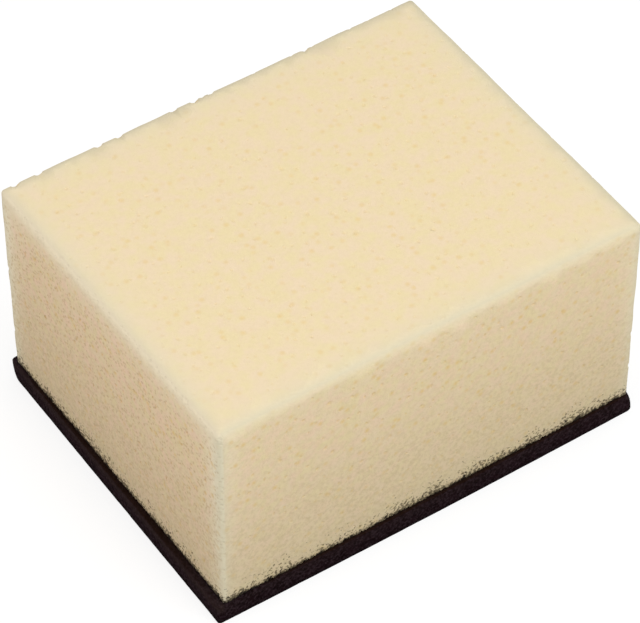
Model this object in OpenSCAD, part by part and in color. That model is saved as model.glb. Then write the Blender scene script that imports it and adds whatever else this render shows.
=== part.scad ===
// Grout sponge: a block of open-cell foam glued flat onto a thick plate of cellular rubber.
// The foam wipes wet grout off the tiles, and the rubber plate stiffens it under the hand.
// Origin at the middle of the plate's underside, +X along the length, +Z up, in millimetres.

/* [Rubber plate] */
// Length of the plate
plate_l = 150; // [100:0.5:220]
// Width of the plate
plate_w = 119; // [80:0.5:160]
// Thickness of the plate
plate_t = 8; // [3:0.5:15]
// Radius of the plate's upright corners
plate_corner_r = 1.5; // [0.5:0.5:10]

/* [Foam block] */
// Height of the foam above the plate
foam_h = 73; // [30:0.5:110]
// Radius of the foam's upright edges
foam_corner_r = 1.2; // [0.5:0.1:4]
// Radius of the foam's top edges
foam_top_r = 1.4; // [0.5:0.1:4]
// Width of plate left bare at the foam's left end
lip_left = 1.3; // [0:0.1:5]
// Width of plate left bare at the foam's right end
lip_right = 2.2; // [0:0.1:5]
// Width of plate left bare along the foam's front
lip_front = 0.5; // [0:0.1:5]
// Width of plate left bare along the foam's back
lip_back = 1.6; // [0:0.1:5]

/* [Open cells] */
// Radius of the smallest cell that breaks through a face
cell_r_min = 0.45; // [0.3:0.05:0.8]
// Radius of the largest cell that breaks through a face
cell_r_max = 1; // [0.8:0.05:2]
// Mean spacing of the cells over a face
cell_pitch = 12; // [8:0.5:20]

/* [Broken edges] */
// Radius of the largest broken cell, as a share of the round of its edge
nick_share = 0.7; // [0.4:0.05:0.7]
// Places of the broken cells along the back top edge, as shares of its length from the left
back_nicks = [0.035, 0.09, 0.23, 0.28, 0.41, 0.46, 0.5, 0.73]; // [0.03:0.005:0.97]
// Places of the broken cells up the left back edge, as shares of its height
left_nicks = [0.19, 0.55]; // [0.03:0.005:0.97]
// Places of the broken cells up the right front edge, as shares of its height
right_nicks = [0.17, 0.36]; // [0.03:0.005:0.97]

/* [Hidden] */
$fn = 48;
cell_fn = 24;

foam_l = plate_l - lip_left - lip_right;
foam_w = plate_w - lip_front - lip_back;
foam_x = (lip_left - lip_right) / 2;
foam_y = (lip_front - lip_back) / 2;

// The flat of each face, inside the rounds along its edges
edge_r = max(foam_corner_r, foam_top_r);
flat_l = foam_l - 2 * edge_r;
flat_w = foam_w - 2 * edge_r;
flat_h = foam_h - edge_r;

// Repeatable scatter from 0 to 1, for step i, j of the pattern with key k
function scatter(i, j, k) =
    let (v = 43758.5453 * sin(127.1 * i + 311.7 * j + 74.7 * k))
    v - floor(v);

// The same scatter from -1 to 1
function sway(i, j, k) = 2 * scatter(i, j, k) - 1;

// Outline of l by w, centred, with four rounded corners
module rounded_outline(l, w, r) {
    square([l - 2 * r, w], center = true);
    square([l, w - 2 * r], center = true);
    for (x = [-1, 1], y = [-1, 1])
        translate([x * (l / 2 - r), y * (w / 2 - r)]) circle(r);
}

// Outline of l by h that stands on its base line, with its two top corners rounded
module loaf_outline(l, h, r) {
    translate([-l / 2, 0]) square([l, h - r]);
    translate([-l / 2 + r, 0]) square([l - 2 * r, h]);
    for (x = [-1, 1]) translate([x * (l / 2 - r), h - r]) circle(r);
}

// The cut block before its cells are opened: its plan, its front and its end, crossed
module foam_blank() {
    intersection() {
        linear_extrude(foam_h) rounded_outline(foam_l, foam_w, foam_corner_r);
        rotate([90, 0, 0])
            linear_extrude(foam_w, center = true) loaf_outline(foam_l, foam_h, foam_top_r);
        rotate([90, 0, 90])
            linear_extrude(foam_l, center = true) loaf_outline(foam_w, foam_h, foam_top_r);
    }
}

// Round cells that a face of u by v cuts open at varying depth. The face lies at z = 0, facing +Z.
module face_cells(u, v, k) {
    columns = max(1, floor(u / cell_pitch));
    rows = max(1, floor(v / cell_pitch));
    reach = cell_pitch / 2 - cell_r_max;
    for (i = [1:columns], j = [1:rows]) {
        r = cell_r_min + (cell_r_max - cell_r_min) * pow(scatter(i, j, k), 2);
        x = (i - (columns + 1) / 2) * cell_pitch + reach * sway(i, j, k + 10);
        y = (j - (rows + 1) / 2) * cell_pitch + reach * sway(i, j, k + 20);
        depth = 0.3 * r * sway(i, j, k + 30);
        translate([x, y, -depth]) sphere(r, $fn = cell_fn);
    }
}

module open_cells() {
    translate([0, 0, foam_h]) face_cells(flat_l, flat_w, 1);
    for (side = [0, 1]) rotate(180 * side) {
        translate([0, -foam_w / 2, flat_h / 2]) rotate([90, 0, 0]) face_cells(flat_l, flat_h, 2 + side);
        translate([foam_l / 2, 0, flat_h / 2]) rotate([90, 0, 90]) face_cells(flat_w, flat_h, 4 + side);
    }
}

// Cells broken out of the round of an edge, at the given shares of its length. The edge runs from the
// origin along +X before it is rounded, and the block lies below it and in front of it.
module edge_nicks(length, round_r, shares, k) {
    inset = round_r * (1 - cos(45));
    for (i = [0:len(shares) - 1]) {
        r = nick_share * round_r * (0.7 + 0.3 * scatter(i, 0, k));
        translate([shares[i] * length, -inset, -inset]) sphere(r, $fn = cell_fn);
    }
}

module broken_edges() {
    translate([-foam_l / 2, foam_w / 2, foam_h]) edge_nicks(foam_l, foam_top_r, back_nicks, 6);
    translate([-foam_l / 2, foam_w / 2, 0]) rotate([0, -90, 0])
        edge_nicks(foam_h, foam_corner_r, left_nicks, 7);
    rotate(180) translate([-foam_l / 2, foam_w / 2, 0]) rotate([0, -90, 0])
        edge_nicks(foam_h, foam_corner_r, right_nicks, 8);
}

module sponge_block() {
    color([0.93, 0.86, 0.71])
    translate([foam_x, foam_y, plate_t])
    difference() {
        foam_blank();
        open_cells();
        broken_edges();
    }
}

module backing_plate() {
    color([0.13, 0.09, 0.09])
    linear_extrude(plate_t) rounded_outline(plate_l, plate_w, plate_corner_r);
}

sponge_block();
backing_plate();
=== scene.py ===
"""A grout sponge: a block of open-cell foam glued onto a plate of cellular rubber.

Lengths are in millimetres until a mesh is made. The left end is at -X and the front at -Y.
"""

import math
from types import SimpleNamespace

import bpy
import numpy as np
from mathutils import Matrix, Vector, noise
from mathutils.geometry import delaunay_2d_cdt


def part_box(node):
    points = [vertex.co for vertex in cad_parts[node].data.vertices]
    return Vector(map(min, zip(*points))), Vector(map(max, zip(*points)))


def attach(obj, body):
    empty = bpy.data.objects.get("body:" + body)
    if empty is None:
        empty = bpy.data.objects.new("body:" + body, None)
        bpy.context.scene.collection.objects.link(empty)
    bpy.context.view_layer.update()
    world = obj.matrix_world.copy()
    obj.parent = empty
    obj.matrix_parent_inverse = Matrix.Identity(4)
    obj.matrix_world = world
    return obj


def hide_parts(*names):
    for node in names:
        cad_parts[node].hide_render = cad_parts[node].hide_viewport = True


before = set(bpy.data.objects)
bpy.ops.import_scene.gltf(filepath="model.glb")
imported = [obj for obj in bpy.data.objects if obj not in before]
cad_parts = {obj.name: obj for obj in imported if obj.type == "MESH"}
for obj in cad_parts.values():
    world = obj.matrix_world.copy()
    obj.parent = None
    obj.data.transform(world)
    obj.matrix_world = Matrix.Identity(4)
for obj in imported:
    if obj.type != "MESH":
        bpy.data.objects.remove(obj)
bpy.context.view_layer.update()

MM = 0.001
SEED = 41
SAME = 1e-6           # places that differ by less are the same

# The foam, as the solid has it. Nicks are cells broken out of an edge, at shares of its length.
CELL_R = (0.45, 1.0)  # smallest and largest radius of its open cells
CELL_PITCH = 12       # their mean spacing
FLAT_INSET = 1.4      # the flat of a face starts this far from its edges
BACK_NICKS = (0.035, 0.09, 0.23, 0.28, 0.41, 0.46, 0.5, 0.73)
LEFT_NICKS = (0.19, 0.55)
RIGHT_NICKS = (0.17, 0.36)

# The foam, as it looks
SUNK = 0.25           # the glue has drawn it this far into the plate
EDGE_R = 1.3          # round along its edges
SHADE_R = 2.5         # wider round that its shading follows, because soft foam spreads the light
FLATNESS = 6          # weight of that round against the mesh's own normals
FLARE = 0.5           # its free top is this much wider on each side than its glued foot
NICK_INSET = 0.1      # the middle of a nick lies this far inside the sharp edge
EDGE_MARGIN = 1.4     # the rims of its cells keep this far from the edges
FOOT_MARGIN = 1.9     # and this far from the foot
GLUE_REACH = 5.5      # the smallest cells below this height can be dark with glue
UNDER_INSET = 1.2     # its underside starts this far inside its foot

# The plate, with its corners in the order front right, back right, back left, front left
PLATE_CORNERS = (2.5, 2.5, 1.2, 0.9)  # rounds of its upright corners
PLATE_WORN = (0, 0, 2.8, 0)           # how much rounder they are at the underside
PLATE_SKEW = (0.95, -0.45)            # its left side is cut out of square: out in front, in at the back
PLATE_BOW = 0.5                       # its front swells by this much in the middle
PLATE_LEAN = 2.2                      # the cut at its right end leans in by this much at the top
LEAN_REACH = 8                        # and takes along what lies this near to it
PLATE_BEVEL = 0.25                    # its upper and lower edges are worn by this much
PLATE_RIM = 0.8                       # its flat faces start with a ring this far in
PLATE_ROWS = 6                        # rows of points up its sides
PLATE_STEPS = (95, 120, 95, 120)      # points along its sides, from the front right corner on
SEAM_DIPS = ((-1, 1, 1.0, 8), (-1, -1, 0.5, 25))  # corners where it is thinner: x, y side, depth, reach

# The stage. The floor's lengths are in metres.
FLOOR_HALF = 3.0
FLOOR_Z = 0.00005                       # a hair above the plate's underside, which so stays clear of it
VIEW_ANGLES = (33.742, 46.691, 0.366)   # of the camera in degrees: round from the front, up, and roll
VIEW_OFFSET = (0.0014, 0.1305, 8.6758)  # right, down and ahead to its aim, in lengths of the foam
VIEW_Z = 8.5                            # height of that aim
FOCAL_SHARE = 4168.9 / 640              # focal length, in widths of the picture
SENSOR = 36

rng = np.random.default_rng(SEED)

foam_lo, foam_hi = (np.array(c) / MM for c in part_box("sponge_block"))
plate_lo, plate_hi = (np.array(c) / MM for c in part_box("backing_plate"))
foam_lo[2] -= SUNK
plate_hi[2] = foam_lo[2]
foam_size = foam_hi - foam_lo
foam_mid = (foam_lo + foam_hi) / 2
plate_size = plate_hi - plate_lo


def scatter(i, j, k):
    """The solid's own repeatable scatter from 0 to 1, so that its cells and these lie in the same places."""
    v = 43758.5453 * math.sin(math.radians(127.1 * i + 311.7 * j + 74.7 * k))
    return v - math.floor(v)


def sway(i, j, k):
    """The same scatter from -1 to 1."""
    return 2 * scatter(i, j, k) - 1


def wave(p, size, seed):
    """Smooth noise from about -1 to 1 with features of the given size."""
    return noise.noise(Vector((p[0] / size + seed, p[1] / size - seed, p[2] / size + 2 * seed)))


def seam_height(x, y):
    """Height of the plate's top at a place."""
    dip = 0
    for sx, sy, depth, reach in SEAM_DIPS:
        corner = tuple((plate_lo if side < 0 else plate_hi)[i] for i, side in enumerate((sx, sy)))
        dip += depth * math.exp(-math.dist((x, y), corner) / reach)
    return plate_hi[2] - dip


def ring_pairs(ring):
    """Each entry of a closed ring with the one after it."""
    return zip(ring, [*ring[1:], ring[0]])


def band(ring, after):
    """Triangles between two closed rings of as many points."""
    tris = []
    for (a, b), (d, c) in zip(ring_pairs(ring), ring_pairs(after)):
        tris += [(a, b, c), (a, c, d)]
    return tris


def fan(ring, tip):
    """Triangles from a closed ring to one point."""
    return [(a, b, tip) for a, b in ring_pairs(ring)]


def make_mesh(name, pos, tris):
    mesh = bpy.data.meshes.new(name)
    mesh.from_pydata((np.asarray(pos) * MM).tolist(), [], tris)
    mesh.update()
    mesh.shade_smooth()
    obj = bpy.data.objects.new(name, mesh)
    bpy.context.scene.collection.objects.link(obj)
    return obj


# Foam block: faces and their open cells


class Chart:
    """One flat face of the foam's box, seen from outside: u runs along one edge and v along the other.

    It is a by b, and key picks the solid's scatter on it. Its cells are depth times their radius deep,
    and fine of the smallest lie on a square centimetre.
    """

    def __init__(self, origin, u_dir, v_dir, a, b, key, depth, fine):
        self.origin, self.u, self.v = (np.array(x, float) for x in (origin, u_dir, v_dir))
        self.a, self.b, self.key, self.depth, self.fine = a, b, key, depth, fine
        self.is_side = abs(self.v[2]) > 0.5

    def point(self, uv):
        uv = np.atleast_2d(uv)
        return self.origin + uv[:, :1] * self.u + uv[:, 1:] * self.v

    def uv(self, p):
        d = np.atleast_2d(p) - self.origin
        return np.c_[d @ self.u, d @ self.v]

    def edges(self):
        """The ends of its four edges, once round."""
        return ring_pairs(self.point([(0, 0), (self.a, 0), (self.a, self.b), (0, self.b)]))


def foam_charts():
    """Top, front, back, right and left. The foot is closed without cells."""
    (x0, y0, z0), (x1, y1, z1) = foam_lo, foam_hi
    length, width, height = foam_size
    x, y, z = np.eye(3)
    return [
        Chart((x0, y0, z1), x, y, length, width, key=1, depth=0.12, fine=6),
        Chart((x0, y0, z0), x, z, length, height, key=2, depth=0.22, fine=7),
        Chart((x1, y1, z0), -x, z, length, height, key=3, depth=0.5, fine=12),
        Chart((x1, y0, z0), y, z, width, height, key=4, depth=0.5, fine=12),
        Chart((x0, y1, z0), -y, z, width, height, key=5, depth=0.7, fine=16),
    ]


def nick(edge_point, inward, r):
    """A broken cell: its centre, its radius and the way into the block."""
    way = np.array(inward, float)
    way /= np.linalg.norm(way)
    return np.array(edge_point, float) + NICK_INSET * way, r, way


def edge_nicks():
    """The solid's broken cells, and smaller ones along the far top edges and the hidden upright edge."""
    (x0, y0, z0), (x1, y1, z1) = foam_lo, foam_hi
    length, _, height = foam_size
    back, left, right, far, hidden = (0, -1, -1), (1, -1, 0), (-1, 1, 0), (-1, 0, -1), (-1, -1, 0)
    found = []
    for i, share in enumerate(BACK_NICKS):
        found.append(nick((x0 + share * length, y1, z1), back, 1.15 + 0.5 * scatter(i, 0, 6)))
    for i, share in enumerate(LEFT_NICKS):
        found.append(nick((x0, y1, z0 + share * height), left, 1.1 + 0.3 * scatter(i, 0, 7)))
    for i, share in enumerate(RIGHT_NICKS):
        found.append(nick((x1, y0, z0 + share * height), right, 1.1 + 0.3 * scatter(i, 0, 8)))
    for x in rng.uniform(x0 + 60, x1 - 4, 9):
        found.append(nick((x, y1, z1), back, rng.uniform(0.6, 0.95)))
    for y in rng.uniform(y0 + 8, y1 - 4, 8):
        found.append(nick((x1, y, z1), far, rng.uniform(0.55, 0.85)))
    for z in rng.uniform(z0 + 5, z1 - 4, 5):
        found.append(nick((x1, y1, z), hidden, rng.uniform(0.6, 1.1)))
    return found


def edge_ends(p, q):
    """One name for an edge, from whichever end it is followed."""
    return tuple(sorted(tuple(end.round(4)) for end in (p, q)))


def edge_points(charts, nicks):
    """Points along the box's edges, the same for the two faces that share an edge."""
    foot_step, edge_step = 0.42, 1.1
    edges = {}
    for chart in charts:
        for ends in (edge_ends(p, q) for p, q in chart.edges()):
            if ends in edges:
                continue
            p, q = (np.array(end) for end in ends)
            length = np.linalg.norm(q - p)
            is_foot = max(p[2], q[2]) < foam_lo[2] + 0.1
            n = round(length / (foot_step if is_foot else edge_step))
            t = (np.arange(1, n) + rng.uniform(-0.3, 0.3, n - 1)) / n * length
            for centre, r, _ in nicks:
                along = (centre - p) @ (q - p) / length
                off = np.linalg.norm(centre - p - along * (q - p) / length)
                if off < 1 and 0 < along < length:
                    t = t[abs(t - along) > r + 0.3]
                    t = np.r_[t, along + np.linspace(-r, r, 9)]
            edges[ends] = p + np.sort(t)[:, None] * (q - p) / length
    return edges


# Kinds of cells: points round the rim, and the rings below it as shares of width and depth
LARGE = (9, ((0.7, 0.45), (0.4, 0.8)))
MEDIUM = (7, ((0.62, 0.3), (0.34, 0.72)))
SMALL = (5, ())


class Pore:
    """An open cell on a face, with its rim about its own middle."""

    def __init__(self, uv, r, rim, rings, depth, glue):
        self.uv, self.r, self.rim = np.array(uv), r, rim
        self.rings, self.depth, self.glue = rings, depth, glue

    def covers(self, uv):
        """Whether a place on the face lies within the rim."""
        x, y = uv - self.uv
        angles = np.arctan2(self.rim[:, 1], self.rim[:, 0])
        order = np.argsort(angles)
        after = order[np.searchsorted(angles[order], math.atan2(y, x)) % len(order)]
        (ax, ay), (bx, by) = self.rim[after - 1], self.rim[after]
        return (bx - ax) * (y - ay) - (by - ay) * (x - ax) > -1e-9


def rim_shape(r, n):
    """An uneven closed loop about the origin."""
    a = 2 * math.pi * (np.arange(n) + rng.uniform(-0.22, 0.22, n)) / n + rng.uniform(0, 6.28)
    d = r * np.clip(1 + 0.15 * rng.standard_normal(n), 0.72, 1.28)
    p = np.c_[d * np.cos(a), d * np.sin(a)]
    turn, long = rng.uniform(0, math.pi), rng.uniform(1, 1.45)
    axis = np.array((math.cos(turn), math.sin(turn)))
    along = np.outer(p @ axis, axis)
    return along * long ** 0.5 + (p - along) / long ** 0.5


class PoreField:
    """The open cells of one face: the solid's own, then ever smaller ones between them."""

    SQUARE = 4.0  # near cells are looked up by squares of this width
    REACH = 1.35  # of a rim, in radii of its cell
    TRIES = 40000

    def __init__(self, chart, nicks):
        self.chart, self.nicks = chart, nicks
        self.pores, self.squares = [], {}
        self.add_solid_cells()
        self.scatter_cells(MEDIUM, per_cm2=1.8, low=0.7, high=1.25, gap=0.2)
        self.scatter_cells(SMALL, per_cm2=chart.fine, low=0.2, high=0.42, gap=0.15)
        if chart.is_side:
            self.open_foot()

    def square(self, u, v):
        return int(u // self.SQUARE), int(v // self.SQUARE)

    def fits(self, u, v, reach, gap):
        """Whether a cell keeps clear of the face's edges, of the other cells and of the broken ones."""
        chart = self.chart
        if min(u, chart.a - u, chart.b - v) < reach + EDGE_MARGIN:
            return False
        if v < reach + (FOOT_MARGIN if chart.is_side else EDGE_MARGIN):
            return False
        i, j = self.square(u, v)
        around = ((i + di, j + dj) for di in (-1, 0, 1) for dj in (-1, 0, 1))
        near = (other for square in around for other in self.squares.get(square, ()))
        if any((pu - u) ** 2 + (pv - v) ** 2 < (pr + reach + gap) ** 2 for pu, pv, pr in near):
            return False
        p = chart.point((u, v))[0]
        return all(np.linalg.norm(p - centre) > r + reach + 0.5 for centre, r, _ in self.nicks)

    def place(self, u, v, r, kind, gap):
        """Adds a cell where it fits, and says whether it did."""
        reach = self.REACH * r
        if not self.fits(u, v, reach, gap):
            return False
        n, rings = kind
        near_glue = kind is SMALL and self.chart.is_side and v < GLUE_REACH
        glue = 1.0 if near_glue and rng.random() < 1.25 - v / 4.4 else 0.0
        rim = rim_shape(r, n)
        depth = r * rng.uniform(0.8, 1.2) * self.chart.depth
        self.pores.append(Pore((u, v), r, rim, rings, depth, glue))
        self.squares.setdefault(self.square(u, v), []).append((u, v, reach))
        return True

    def add_solid_cells(self):
        """The cells of the solid's pattern, where it has them."""
        chart, key = self.chart, self.chart.key
        flat_v = foam_size[2] - FLAT_INSET if chart.is_side else chart.b - 2 * FLAT_INSET
        mid_v = flat_v / 2 if chart.is_side else chart.b / 2
        columns, rows = int((chart.a - 2 * FLAT_INSET) // CELL_PITCH), int(flat_v // CELL_PITCH)
        free = CELL_PITCH / 2 - CELL_R[1]
        for i in range(1, columns + 1):
            for j in range(1, rows + 1):
                r = CELL_R[0] + (CELL_R[1] - CELL_R[0]) * scatter(i, j, key) ** 2
                u = chart.a / 2 + (i - (columns + 1) / 2) * CELL_PITCH + free * sway(i, j, key + 10)
                v = mid_v + (j - (rows + 1) / 2) * CELL_PITCH + free * sway(i, j, key + 20)
                self.place(u, v, r, LARGE, 0.3)

    def scatter_cells(self, kind, per_cm2, low, high, gap):
        """Cells of radius low to high, with a gap between them, most of them small."""
        chart = self.chart
        wanted, tries = int(per_cm2 * (chart.a * chart.b / 100)), 0
        while wanted and tries < self.TRIES:
            tries += 1
            r = low + (high - low) * rng.random() ** 1.7
            wanted -= self.place(rng.uniform(0, chart.a), rng.uniform(0, chart.b), r, kind, gap)

    def open_foot(self):
        """More of the smallest cells along the foot, which is the most open part."""
        length = self.chart.a
        for _ in range(int(length * 2.2)):
            u, v = rng.uniform(0, length), 2.2 + 2.6 * rng.random() ** 1.5
            self.place(u, v, rng.uniform(0.2, 0.36), SMALL, 0.12)


def field_points(chart, pores, nicks):
    """Points between the cells: rows along the rounded edges and clusters where an edge is broken."""
    a, b = chart.a, chart.b
    foot = 1.5 if chart.is_side else 0
    # of each side: its length, where it starts, the way along it and the way in from it
    sides = (
        (a, (0, b), (1, 0), (0, -1)),
        (b, (0, 0), (0, 1), (1, 0)),
        (b, (a, 0), (0, 1), (-1, 0)),
        (a, (0, foot), (1, 0), (0, 1)),
    )
    found = []
    for length, start, along, inward in sides:
        for distance in (0.35, 0.75, 1.3):
            n = int(length / 1.4)
            t = (np.arange(n) + 0.5 + rng.uniform(-0.3, 0.3, n)) * length / n
            d = distance + rng.uniform(-0.08, 0.08, n)
            found += list(np.array(start) + np.outer(t, along) + np.outer(d, inward))
    for centre, r, _ in nicks:
        u, v = chart.uv(centre)[0]
        if np.linalg.norm(chart.point((u, v))[0] - centre) < 1:
            angle, d = rng.uniform(0, 2 * math.pi, 60), r * 1.15 * np.sqrt(rng.random(60))
            found += list(np.c_[u + d * np.cos(angle), v + d * np.sin(angle)])
    return thin_out(chart, pores, found)


def thin_out(chart, pores, found):
    """Those points that keep clear of the border, of the cells and of each other."""
    border, apart, square = 0.25, 0.3, 0.6
    low = FOOT_MARGIN if chart.is_side else border
    rims = np.array([(*pore.uv, 1.4 * pore.r + 0.1) for pore in pores])
    kept, squares = [], {}
    for u, v in found:
        if not (border < u < chart.a - border and border < v < chart.b - border) or v < low:
            continue
        if ((rims[:, 0] - u) ** 2 + (rims[:, 1] - v) ** 2 < rims[:, 2] ** 2).any():
            continue
        i, j = int(u / square), int(v / square)
        near = [squares.get((i + di, j + dj)) for di in (-1, 0, 1) for dj in (-1, 0, 1)]
        if any(q and (q[0] - u) ** 2 + (q[1] - v) ** 2 < apart ** 2 for q in near):
            continue
        squares[(i, j)] = (u, v)
        kept.append((u, v))
    return kept


# Foam block: its shape


def rounded(p, r):
    """Points of the sharp box brought onto one with edges of radius r, with their outward normals."""
    core = np.clip(p, foam_lo + r, foam_hi - r)
    core[:, 2] = np.minimum(p[:, 2], foam_hi[2] - r)
    out = p - core
    n = out / np.linalg.norm(out, axis=1, keepdims=True)
    return core + r * n, n


def edge_distance(p):
    """Distance from the block's nearest edge: the middle one of the distances from its faces."""
    d = np.c_[foam_size[:2] / 2 - abs(p[:, :2] - foam_mid[:2]), foam_hi[2] - p[:, 2]]
    return np.maximum(np.sort(d, axis=1)[:, 1], 0)


def relief(p, n):
    """The cut foam is never quite flat: long soft waves, a fine unevenness, and more waves by its edges."""
    near = np.exp(-edge_distance(p) / 2.5)
    h = np.array([0.16 * wave(q, 34, 3.1) + 0.07 * wave(q, 7, 9.7) + 0.04 * wave(q, 2.2, 5.3) for q in p])
    more = np.array([0.18 * wave(q, 11, 6.4) + 0.05 * wave(q, 5, 2.9) for q in p])
    return p + (h + near * more)[:, None] * n


def carve(p, nicks):
    """Moves the points inside a broken cell onto its wall."""
    p = p.copy()
    for centre, r, way in nicks:
        d = p - centre
        inside = np.nonzero((d ** 2).sum(1) < r * r)[0]
        b = d[inside] @ way
        p[inside] += (-b + np.sqrt(b * b + r * r - (d[inside] ** 2).sum(1)))[:, None] * way
    return p


def foot_order(p):
    """How far round the foot a border point lies, counted from the front left corner."""
    x, y = p[0] - foam_lo[0], p[1] - foam_lo[1]
    length, width = foam_size[:2]
    if abs(y) < SAME and x < length - SAME:
        return x
    if abs(x - length) < SAME and y < width - SAME:
        return length + y
    if abs(y - width) < SAME and x > SAME:
        return length + width + (length - x)
    return 2 * length + width + (width - y)


def tear_foot(foot, pos, out):
    """Lets the foot rise from the plate in small notches, half of them hardly open."""
    for i in foot:
        t = rng.random()
        rise = 0.1 * t if rng.random() < 0.5 else 0.1 + 1.0 * t ** 2
        pos[i, 2] = seam_height(*pos[i, :2]) + rise
        pos[i] += out[i] * rng.uniform(-0.12, 0.06)


class FoamMesh:
    """Points and triangles of the foam: its faces with their cells, laid out on a sharp box, and their shape.

    Each point has its place on the box, its depth below the face, and two shares for the colours: pit,
    how deep it lies in a cell, and glue, how dark the glue has made it.
    """

    def __init__(self):
        self.places, self.depth, self.pit, self.glue, self.tris = [], [], [], [], []
        self.shared = {}
        charts = foam_charts()
        self.nicks = edge_nicks()
        self.edges = edge_points(charts, self.nicks)
        for chart in charts:
            self.add_face(chart)

    def add_point(self, place, depth=0.0, pit=0.0, glue=0.0):
        self.places.append(place)
        self.depth.append(depth)
        self.pit.append(pit)
        self.glue.append(glue)
        return len(self.places) - 1

    def border(self, chart):
        """The points once round a face, and for each the sides of the face that it lies on."""
        points, sides = [], []
        for side, (p, q) in enumerate(chart.edges()):
            ends = edge_ends(p, q)
            between = self.edges[ends]
            points += [p, *(between if tuple(p.round(4)) == ends[0] else between[::-1])]
            sides += [{side, (side - 1) % 4}] + [{side}] * len(between)
        return np.array(points), sides

    def number_points(self, chart, flat, border):
        """Numbers of a face's points. Those of its border, which come first, are shared between faces."""
        numbers = []
        for i, place in enumerate(chart.point(flat)):
            key = tuple(border[i].round(3)) if i < len(border) else None
            if key in self.shared:
                numbers.append(self.shared[key])
                continue
            numbers.append(self.add_point(place))
            if key:
                self.shared[key] = numbers[-1]
        return numbers

    def add_face(self, chart):
        """Triangles between a face's border, its cells and the points between them, then the cells' walls."""
        pores = PoreField(chart, self.nicks).pores
        border, sides = self.border(chart)
        flat = [*chart.uv(border), *field_points(chart, pores, self.nicks)]
        lines = list(ring_pairs(range(len(border))))
        owner, starts = [-1] * len(flat), []
        for k, pore in enumerate(pores):
            starts.append(len(flat))
            flat += list(pore.uv + pore.rim)
            owner += [k] * len(pore.rim)
            lines += ring_pairs(range(starts[-1], len(flat)))
        corners, _, tris, sources, *_ = delaunay_2d_cdt([Vector(p) for p in flat], lines, [], 0, 1e-7, True)
        if len(corners) != len(flat):
            raise RuntimeError("two points of a face fell together")
        numbers = self.number_points(chart, flat, border)
        flat = np.array(flat)
        for tri in tris:
            i, j, k = (sources[corner][0] for corner in tri)
            along_one_side = max(i, j, k) < len(border) and sides[i] & sides[j] & sides[k]
            within_rim = owner[i] >= 0 and owner[i] == owner[j] == owner[k]
            if along_one_side or (within_rim and pores[owner[i]].covers((flat[i] + flat[j] + flat[k]) / 3)):
                continue
            self.tris.append((numbers[i], numbers[j], numbers[k]))
        for pore, start in zip(pores, starts):
            self.sink(chart, pore, numbers[start:start + len(pore.rim)])

    def sink(self, chart, pore, ring):
        """The wall of a cell: uneven rings below its rim, down to a tip."""
        for width, share in pore.rings:
            shift = rng.uniform(-0.08, 0.08, 2) * pore.r
            lower = []
            for at in pore.rim:
                depth = share * pore.depth * rng.uniform(0.85, 1.15)
                place = chart.point(pore.uv + at * width + shift)[0]
                lower.append(self.add_point(place, depth, share, pore.glue))
            self.tris += band(ring, lower)
            ring = lower
        place = chart.point(pore.uv + rng.uniform(-0.15, 0.15, 2) * pore.r)[0]
        tip = self.add_point(place, pore.depth, 1.0 if pore.rings else 0.3, pore.glue)
        self.tris += fan(ring, tip)

    def shape(self):
        """Final places of all points, and the normals that the flat of a face is shaded by, else zeros."""
        sharp, depth = np.array(self.places), np.array(self.depth)[:, None]
        face, out = rounded(sharp, EDGE_R)
        face = relief(face, out)
        torn = carve(face, self.nicks)
        pos = np.where(depth > 0, face - depth * out, torn)
        is_cut = (torn != face).any(1, keepdims=True) | (depth > 0)
        normals = np.where(is_cut, 0.0, rounded(sharp, SHADE_R)[1])
        foot = [i for i in self.shared.values() if abs(sharp[i, 2] - foam_lo[2]) < SAME]
        foot.sort(key=lambda i: foot_order(sharp[i]))
        tear_foot(foot, pos, out)
        normals[foot] = 0
        spread = FLARE * (pos[:, 2:] - foam_lo[2]) / foam_size[2]
        pos[:, :2] += spread * (pos[:, :2] - foam_mid[:2]) / (foam_size[:2] / 2)
        under = self.close_underside(foot)
        return np.vstack([pos, under]), np.vstack([normals, np.zeros_like(under)])

    def close_underside(self, foot):
        """Places of a ring inside the foot and of a middle point, which close the block from below."""
        mid, z = foam_mid[:2], foam_lo[2]
        shrink = 1 - 2 * UNDER_INSET / foam_size[:2]
        under = [(*(mid + (self.places[i][:2] - mid) * shrink), z) for i in foot]
        under.append((*mid, z))
        *ring, middle = [self.add_point(place, pit=0.6, glue=1.0) for place in under]
        self.tris += band(foot[::-1], ring[::-1])
        self.tris += fan(ring[::-1], middle)
        return np.array(under)


def foam_object():
    foam = FoamMesh()
    pos, normals = foam.shape()
    obj = make_mesh("foam_block", pos, foam.tris)
    mesh = obj.data
    # between the cells the cut face is shaded as the flat face that it is
    own = np.empty(len(pos) * 3, np.float32)
    mesh.vertex_normals.foreach_get("vector", own)
    shade = own.reshape(-1, 3) + FLATNESS * normals
    mesh.normals_split_custom_set_from_vertices(shade / np.linalg.norm(shade, axis=1, keepdims=True))
    for name, values in (("pit", foam.pit), ("glue", foam.glue)):
        mesh.attributes.new(name, "FLOAT", "POINT").data.foreach_set("value", np.array(values, np.float32))
    mesh.update()
    return obj


# Rubber plate


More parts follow.
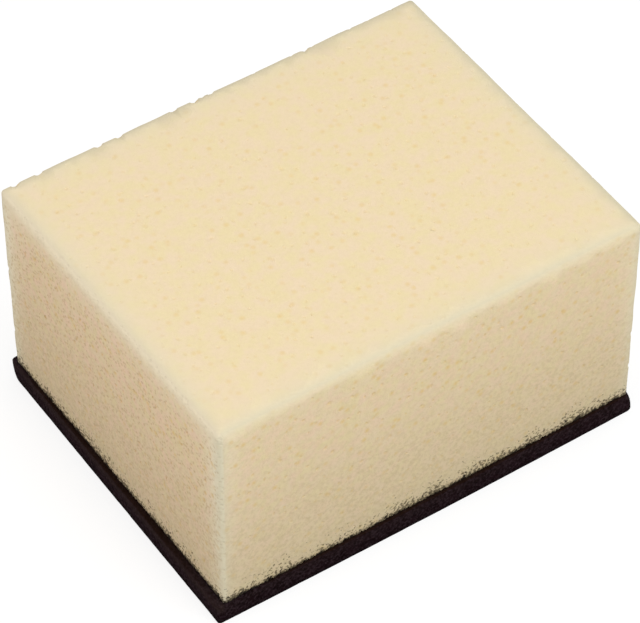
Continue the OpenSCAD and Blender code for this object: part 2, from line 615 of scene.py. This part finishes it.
def plate_outline(inset, low):
    """Outline of the plate, moved in by inset, with the way out at each point. Low is 1 at its underside."""
    (x0, y0), (x1, y1) = plate_lo[:2], plate_hi[:2]
    left_front, left_back = (x0 - skew for skew in PLATE_SKEW)
    corners = ((x1, y0, -1, 1), (x1, y1, -1, -1), (left_back, y1, 1, -1), (left_front, y0, 1, 1))
    arcs = []
    for (x, y, sx, sy), r, worn, turn in zip(corners, PLATE_CORNERS, PLATE_WORN, (270, 0, 90, 180)):
        r += worn * low ** 2.3
        ways = [np.array((math.cos(a), math.sin(a))) for a in np.radians(np.linspace(turn, turn + 90, 7))]
        arcs.append([np.r_[np.array((x + sx * r, y + sy * r)) + (r - inset) * way, way] for way in ways])
    loop = []
    for (arc, after), steps in zip(ring_pairs(arcs), PLATE_STEPS):
        loop += arc[:-1]
        loop += [arc[-1] + (after[0] - arc[-1]) * i / steps for i in range(steps)]
    return np.array(loop)


def plate_point(x, y, z, nx, ny):
    """A point of the plate's outline where the cut of its sides, its wear and the seam bring it."""
    p = np.array((x, y, z))
    dent = abs(0.09 * wave(p, 9, 4.2) + 0.06 * wave(p, 2.5, 8.8))
    up = (z - plate_lo[2]) / plate_size[2]
    p[0] -= PLATE_LEAN * up ** 2 * max(1 - (plate_hi[0] - x) / LEAN_REACH, 0)
    p[1] -= PLATE_BOW * max(-ny, 0) * math.sin(math.pi * (x - plate_lo[0]) / plate_size[0])
    p[2] = plate_lo[2] + up * (seam_height(x, y) - plate_lo[2])
    return p - dent * np.array((nx, ny, 0))


def plate_object():
    z0, z1 = plate_lo[2], plate_hi[2]
    bevel, worn = PLATE_BEVEL, 0.3 * PLATE_BEVEL
    profile = [(PLATE_RIM, z0), (bevel, z0), (worn, z0 + worn)]
    profile += [(0, z0 + bevel + (z1 - z0 - 2 * bevel) * i / PLATE_ROWS) for i in range(PLATE_ROWS + 1)]
    profile += [(worn, z1 - worn), (bevel, z1), (PLATE_RIM, z1)]
    pos, rings = [], []
    for inset, z in profile:
        outline = plate_outline(inset, (z1 - z) / (z1 - z0))
        rings.append(range(len(pos), len(pos) + len(outline)))
        pos += [plate_point(x, y, z, nx, ny) for x, y, nx, ny in outline]
    tris = []
    for ring, after in zip(rings, rings[1:]):
        tris += band(ring, after)
    for ring, z in ((rings[0][::-1], z0), (rings[-1], z1)):
        tris += fan(ring, len(pos))
        pos.append(np.array((*(plate_lo + plate_hi)[:2] / 2, z)))
    return make_mesh("rubber_plate", pos, tris)


# Materials


class Nodes:
    """Short way to write the nodes of a material or of the world."""

    def __init__(self, tree):
        self.tree = tree

    def new(self, kind, inputs=(), **settings):
        node = self.tree.nodes.new(kind)
        for name, value in settings.items():
            setattr(node, name, value)
        self.feed(node, dict(inputs))
        return node

    def feed(self, node, inputs):
        """Sets inputs of a node, by name or number, to a value or to another node's output."""
        for key, value in inputs.items():
            socket = node.inputs[key]
            if isinstance(value, bpy.types.NodeSocket):
                self.tree.links.new(value, socket)
            else:
                socket.default_value = value

    def math(self, operation, a, b=0.0):
        return self.new("ShaderNodeMath", {0: a, 1: b}, operation=operation).outputs[0]

    def times(self, a, b):
        return self.math("MULTIPLY", a, b)

    def minus(self, a, b):
        return self.math("SUBTRACT", a, b)

    def larger(self, a, b):
        return self.math("MAXIMUM", a, b)

    def ramp(self, value, low, high, to_low=0.0, to_high=1.0):
        """Goes softly from to_low to to_high while the value goes from low to high."""
        inputs = dict(enumerate((value, low, high, to_low, to_high)))
        return self.new("ShaderNodeMapRange", inputs, interpolation_type="SMOOTHSTEP").outputs[0]

    def pick(self, share, at_none, at_all):
        """Goes softly from one value to the other with a share from 0 to 1."""
        return self.ramp(share, 0.0, 1.0, at_none, at_all)

    def falloff(self, distance, reach):
        """Falls from 1 at no distance towards nothing, by a factor of e over each reach."""
        return self.math("EXPONENT", self.math("DIVIDE", distance, -reach))

    def mix(self, factor, a, b):
        return self.new("ShaderNodeMix", {0: factor, 6: a, 7: b}, data_type="RGBA").outputs[2]

    def noise(self, at, scale, detail, rough):
        inputs = {"Vector": at, "Scale": scale, "Detail": detail, "Roughness": rough}
        return self.new("ShaderNodeTexNoise", inputs).outputs["Fac"]

    def cells(self, at, scale):
        """Distance from the middle of the nearest of many scattered cells, and that cell's random colour."""
        inputs = {"Vector": at, "Scale": scale, "Randomness": 1.0}
        found = self.new("ShaderNodeTexVoronoi", inputs, feature="F1").outputs
        return found["Distance"], found["Color"]

    def dots(self, at, scale, core, size, rare, common):
        """Scattered dots, full in the core and gone at their size. Chances below rare leave a dot out."""
        distance, colour = self.cells(at, scale)
        chance = self.new("ShaderNodeSeparateColor", {"Color": colour}).outputs[0]
        return self.times(self.ramp(distance, core, size, 1.0, 0.0), self.ramp(chance, rare, common))

    def attribute(self, name):
        return self.new("ShaderNodeAttribute", attribute_name=name).outputs["Fac"]

    def bump(self, height, strength, distance):
        inputs = {"Strength": strength, "Distance": distance, "Height": height}
        return self.new("ShaderNodeBump", inputs).outputs[0]

    def millimetres(self):
        """The place on the object, and the same turned askew, so that no pattern lines up with a face."""
        metres = self.new("ShaderNodeTexCoord").outputs["Object"]
        scaled = self.new("ShaderNodeVectorMath", {"Vector": metres, "Scale": 1 / MM}, operation="SCALE")
        place = scaled.outputs[0]
        turned = {"Vector": place, "Rotation": (0.5, 0.7, 0.3)}
        return place, self.new("ShaderNodeVectorRotate", turned, rotation_type="EULER_XYZ").outputs[0]

    def split(self, vector):
        return self.new("ShaderNodeSeparateXYZ", {"Vector": vector}).outputs


def new_material(name):
    """A material, with the means to write its nodes, and its shader."""
    material = bpy.data.materials.new(name)
    material.use_nodes = True
    return material, Nodes(material.node_tree), material.node_tree.nodes["Principled BSDF"]


def rgb(*c):
    """An opaque colour, in linear light."""
    return (*c, 1.0)


def foam_places(m, place):
    """Distances of a point from the block's edges, and its shares of the side faces and of the left one."""
    x, y, z = m.split(place)
    dx, dy = (
        m.minus(foam_size[i] / 2, m.math("ABSOLUTE", m.minus(c, foam_mid[i]))) for i, c in enumerate((x, y))
    )
    from_top, from_sides = m.minus(foam_hi[2], z), m.math("MINIMUM", dx, dy)
    return SimpleNamespace(
        from_top=from_top,
        from_sides=from_sides,
        from_upright=m.larger(dx, dy),
        above_foot=m.minus(z, foam_lo[2]),
        on_side=m.ramp(m.minus(from_top, from_sides), -0.7, 0.7),
        on_left=m.ramp(x, foam_lo[0] + 0.4, foam_lo[0] + 1.5, 1.0, 0.0),
    )


def foam_ground(m, at, here):
    """Cream, mottled pinker and yellower, with a painted glow by the upright edges, and clouded where it is
    more open.
    """
    mottle = m.ramp(m.noise(at, 0.22, 2.0, 0.55), 0.3, 0.7)
    colour = m.mix(mottle, rgb(0.845, 0.712, 0.43), rgb(0.858, 0.698, 0.485))
    pink = m.ramp(m.noise(at, 0.3, 2.0, 0.5), 0.42, 0.66, 0.0, 0.5)
    blush = m.times(pink, m.pick(here.on_left, 1.0, 1.5))
    colour = m.mix(m.times(here.on_side, blush), colour, rgb(0.90, 0.665, 0.495))
    # painted glow: paler by the upright edges, where light comes through the thin foam; weaker on the left
    # face
    beside = m.larger(m.minus(here.from_upright, 2.0), 0.0)
    glow = m.times(m.falloff(beside, 3.2), m.pick(here.on_left, 0.3, 1.0))
    colour = m.mix(m.times(here.on_side, glow), colour, rgb(0.99, 0.92, 0.71))
    low = m.ramp(here.above_foot, 0.0, 60.0, 1.0, 0.0)
    cloud = m.ramp(m.noise(at, 0.75, 3.0, 0.65), 0.38, 0.7)
    grain = m.times(here.on_side, m.pick(low, 0.2, 0.75))
    return m.mix(m.times(cloud, m.math("ADD", grain, 0.12)), colour, rgb(0.67, 0.53, 0.31))


def foam_cells(m, at, here, dots, pore_shade_and_depth, colour):
    """Painted shade in the cells: the finest cells dark, soft ochre spots that stand for deeper ones, and the
    ochre shade inside the open ones, all weakest on the top.
    """
    # painted shade in the finest cells, strongest on the left face, which the lamps leave unlit
    colour = m.mix(m.times(dots, m.pick(pore_shade_and_depth, 0.04, 0.8)), colour, rgb(0.65, 0.48, 0.26))
    # painted shade: soft ochre spots that stand for deeper cells, tinted as light is inside them, stronger on
    # the sides
    deep_cell_shade = m.dots(at, scale=0.3, core=0.02, size=0.42, rare=0.3, common=0.7)
    colour = m.mix(m.times(deep_cell_shade, m.pick(here.on_side, 0.5, 0.8)), colour, rgb(0.79, 0.57, 0.24))
    # painted shade inside the open cells, by how deep a point lies: least on the top, most on the left face,
    # which the lamps leave unlit
    shade = m.pick(here.on_side, 0.25, m.pick(here.on_left, 0.5, 0.85))
    return m.mix(m.times(m.attribute("pit"), shade), colour, rgb(0.74, 0.52, 0.20))


def foam_edges(m, here, colour):
    """Painted shade greyer towards the foot, a painted glow where light comes through below the top, painted
    pale light on the upright ridges, and painted shade along the top's edges and ridge.
    """
    # painted shade: greyer and darker towards the foot, where less light reaches, most of all near the plate
    colour = m.mix(m.ramp(here.above_foot, 0.0, 68.0, 0.46, 0.0), colour, rgb(0.58, 0.485, 0.325))
    colour = m.mix(m.ramp(here.above_foot, 0.0, 14.0, 0.3, 0.0), colour, rgb(0.56, 0.50, 0.32))
    # painted glow: paler just below the top, where light comes through the foam; weaker on the left face
    below = m.larger(m.minus(here.from_top, 2.2), 0.0)
    glow = m.times(m.falloff(below, 4.2), m.pick(here.on_left, 0.28, 0.9))
    pale = m.mix(here.on_left, rgb(0.96, 0.86, 0.58), rgb(0.96, 0.86, 0.63))
    colour = m.mix(m.times(here.on_side, glow), colour, pale)
    # painted pale light along the upright ridges, wider on the left face
    from_ridge = m.times(here.from_upright, m.pick(here.on_left, 1.3, 0.75))
    upright_ridge = m.times(here.on_side, m.falloff(from_ridge, 1.8))
    colour = m.mix(m.times(upright_ridge, 0.9), colour, rgb(0.765, 0.715, 0.53))
    # painted shade: the top greyer and darker towards its edges, where its round turns away from the light
    on_top = m.minus(1.0, here.on_side)
    top_edge_painted_shade = m.times(m.falloff(here.from_sides, 5.0), 0.9)
    colour = m.mix(m.times(on_top, top_edge_painted_shade), colour, rgb(0.785, 0.70, 0.49))
    # painted shade along the top's ridges, a little darker on the left
    top_ridge = m.times(m.falloff(m.larger(here.from_top, here.from_sides), 1.4), 0.9)
    return m.mix(top_ridge, colour, m.mix(here.on_left, rgb(0.70, 0.635, 0.462), rgb(0.73, 0.65, 0.48)))


def foam_seam(m, at, here, colour):
    """Dark with rubber and glue at the seam: soft specks, rarer upwards, and a ragged black fringe."""
    up = m.larger(here.above_foot, 0.0)
    thinned = m.minus(m.noise(at, 1.1, 2.5, 0.55), m.times(m.math("SQRT", up), 0.137))
    specks = m.math("ADD", thinned, m.ramp(m.noise(at, 0.12, 1.0, 0.5), 0.3, 0.7, -0.05, 0.05))
    colour = m.mix(m.ramp(specks, 0.262, 0.412, 0.0, 0.82), colour, rgb(0.08, 0.062, 0.034))
    fringe = m.minus(m.noise(at, 0.5, 2.0, 0.55), m.times(up, 0.07))
    dark = m.larger(m.times(m.attribute("glue"), 0.7), m.ramp(fringe, 0.505, 0.545, 0.0, 0.95))
    return m.mix(dark, colour, rgb(0.035, 0.027, 0.018))


def foam_material():
    material, m, shader = new_material("open_cell_foam")
    place, at = m.millimetres()
    here = foam_places(m, place)
    dots = m.dots(at, scale=0.8, core=0.18, size=0.48, rare=0.1, common=0.6)
    # share of painted shade in the finest cells, most on the left face, which the lamps leave unlit; it also
    # deepens their bump
    pore_shade_and_depth = m.times(here.on_side, m.pick(here.on_left, 0.15, 1.0))
    colour = foam_ground(m, at, here)
    colour = foam_cells(m, at, here, dots, pore_shade_and_depth, colour)
    colour = foam_edges(m, here, colour)
    colour = foam_seam(m, at, here, colour)
    height = m.minus(m.times(m.noise(at, 2.2, 2.0, 0.6), 0.6), m.times(dots, pore_shade_and_depth))
    bump = m.bump(height, strength=0.5, distance=0.3 * MM)
    m.feed(shader, {"Base Color": colour, "Normal": bump, "Roughness": 0.95, "Specular IOR Level": 0.1})
    return material


def rubber_material():
    material, m, shader = new_material("cellular_rubber")
    place, at = m.millimetres()
    x, _, z = m.split(place)
    top = plate_hi[2]
    on_left = m.ramp(x, plate_lo[0] + 0.7, plate_lo[0] + 1.5, 1.0, 0.0)
    blotch = m.ramp(m.noise(at, 0.35, 3.0, 0.6), 0.3, 0.7)
    colour = m.mix(blotch, rgb(0.0050, 0.0018, 0.0021), rgb(0.0125, 0.0050, 0.0070))
    distance, _ = m.cells(at, 0.9)
    open_cell = m.ramp(distance, 0.1, 0.45, 1.0, 0.0)
    colour = m.mix(m.times(open_cell, 0.7), colour, rgb(0.0040, 0.0022, 0.0022))
    dust = m.ramp(m.noise(at, 1.0, 3.0, 0.7), 0.40, 0.68)
    colour = m.mix(m.times(dust, 0.85), colour, rgb(0.036, 0.0225, 0.0275))
    # a painted highlight makes it palest under its upper edge, most of all at the left end; painted shade
    # makes it darker towards the floor; browner on the lip
    edge = m.times(m.ramp(z, top - 4.2, top - 1.2), m.ramp(z, top - 1.2, top, 1.0, 0.5))
    colour = m.mix(m.times(edge, m.pick(on_left, 0.1, 0.42)), colour, rgb(0.040, 0.026, 0.022))
    # painted shade: darker towards the floor, more at the left end
    foot = m.times(m.ramp(z, 0.0, 3.0, 1.0, 0.0), m.pick(on_left, 0.5, 0.75))
    colour = m.mix(foot, colour, rgb(0.003, 0.0015, 0.0012))
    lip = m.ramp(z, top - 0.4, top - 0.1, 0.0, 0.7)
    colour = m.mix(lip, colour, rgb(0.016, 0.007, 0.0035))
    height = m.minus(m.times(m.noise(at, 3.0, 3.0, 0.7), 0.5), open_cell)
    bump = m.bump(height, strength=0.4, distance=0.25 * MM)
    m.feed(shader, {"Base Color": colour, "Normal": bump, "Roughness": 0.85, "Specular IOR Level": 0.01})
    return material


# Stage


def seen_directly(m):
    """1 for rays that show a surface as it is: from the camera, off a gloss or through glass."""
    path = m.new("ShaderNodeLightPath").outputs
    return m.larger(m.larger(path["Is Camera Ray"], path["Is Glossy Ray"]), path["Is Transmission Ray"])


def make_floor():
    s, z = FLOOR_HALF, FLOOR_Z
    mesh = bpy.data.meshes.new("floor")
    mesh.from_pydata([(-s, -s, z), (s, -s, z), (s, s, z), (-s, s, z)], [], [(0, 1, 2, 3)])
    floor = bpy.data.objects.new("floor", mesh)
    bpy.context.scene.collection.objects.link(floor)
    material, m, shader = new_material("floor_paper")
    seen = seen_directly(m)
    m.feed(shader, {
        "Base Color": m.mix(seen, rgb(0.55, 0.54, 0.51), rgb(0.27, 0.27, 0.27)),
        "Emission Color": rgb(1, 1, 1),
        "Emission Strength": m.times(seen, 0.78),
        "Roughness": 1.0,
        "Specular IOR Level": 0.0,
    })
    mesh.materials.append(material)


def add_lamp(name, way, distance, size, energy, tint=(1, 1, 1)):
    """A square lamp that shines on the origin, with its lengths in metres."""
    data = bpy.data.lights.new(name, "AREA")
    data.shape, data.size, data.energy, data.color = "SQUARE", size, energy, tint
    lamp = bpy.data.objects.new(name, data)
    bpy.context.scene.collection.objects.link(lamp)
    way = Vector(way).normalized()
    lamp.location = way * distance
    lamp.rotation_euler = way.to_track_quat("Z", "Y").to_euler()


def make_light():
    world = bpy.data.worlds.new("studio")
    bpy.context.scene.world = world
    world.use_nodes = True
    m = Nodes(world.node_tree)
    colour = m.mix(seen_directly(m), rgb(0.60, 0.60, 0.60), rgb(1, 1, 1))
    m.feed(world.node_tree.nodes["Background"], {"Color": colour, "Strength": 1.0})
    add_lamp("soft_box", (0.05, -0.3, 0.95), 1.8, 1.2, 10.6, (0.975, 1.0, 0.985))
    add_lamp("front_fill", (0.25, -0.9, 0.4), 1.6, 1.0, 5.0)
    add_lamp("left_fill", (-0.85, 0.1, 0.5), 1.6, 1.0, 5.0, (1.0, 0.84, 0.81))


def make_camera():
    """The photograph's view, from the front left and above, through a long lens."""
    az, el, roll = (math.radians(angle) for angle in VIEW_ANGLES)
    forward = Vector((math.sin(az) * math.cos(el), math.cos(az) * math.cos(el), -math.sin(el)))
    right = Vector((math.cos(az), -math.sin(az), 0))
    down = forward.cross(right)
    c, s = math.cos(roll), math.sin(roll)
    right, down = c * right + s * down, c * down - s * right
    by_right, by_down, by_forward = VIEW_OFFSET
    offset = (by_right * right + by_down * down + by_forward * forward) * (foam_size[0] * MM)
    place = Vector((foam_mid[0], foam_mid[1], VIEW_Z)) * MM - offset
    data = bpy.data.cameras.new("camera")
    data.sensor_width = SENSOR
    data.lens = FOCAL_SHARE * SENSOR
    data.clip_start, data.clip_end = 0.05, 20
    camera = bpy.data.objects.new("camera", data)
    axes = Matrix((right, -down, -forward)).transposed()
    camera.matrix_world = Matrix.Translation(place) @ axes.to_4x4()
    bpy.context.scene.collection.objects.link(camera)
    bpy.context.scene.camera = camera


foam = foam_object()
foam.data.materials.append(foam_material())
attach(foam, "root")
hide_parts("sponge_block")

plate = plate_object()
plate.data.materials.append(rubber_material())
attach(plate, "root")
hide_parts("backing_plate")

make_floor()
make_light()
make_camera()
bpy.context.scene.view_settings.view_transform = "Standard"
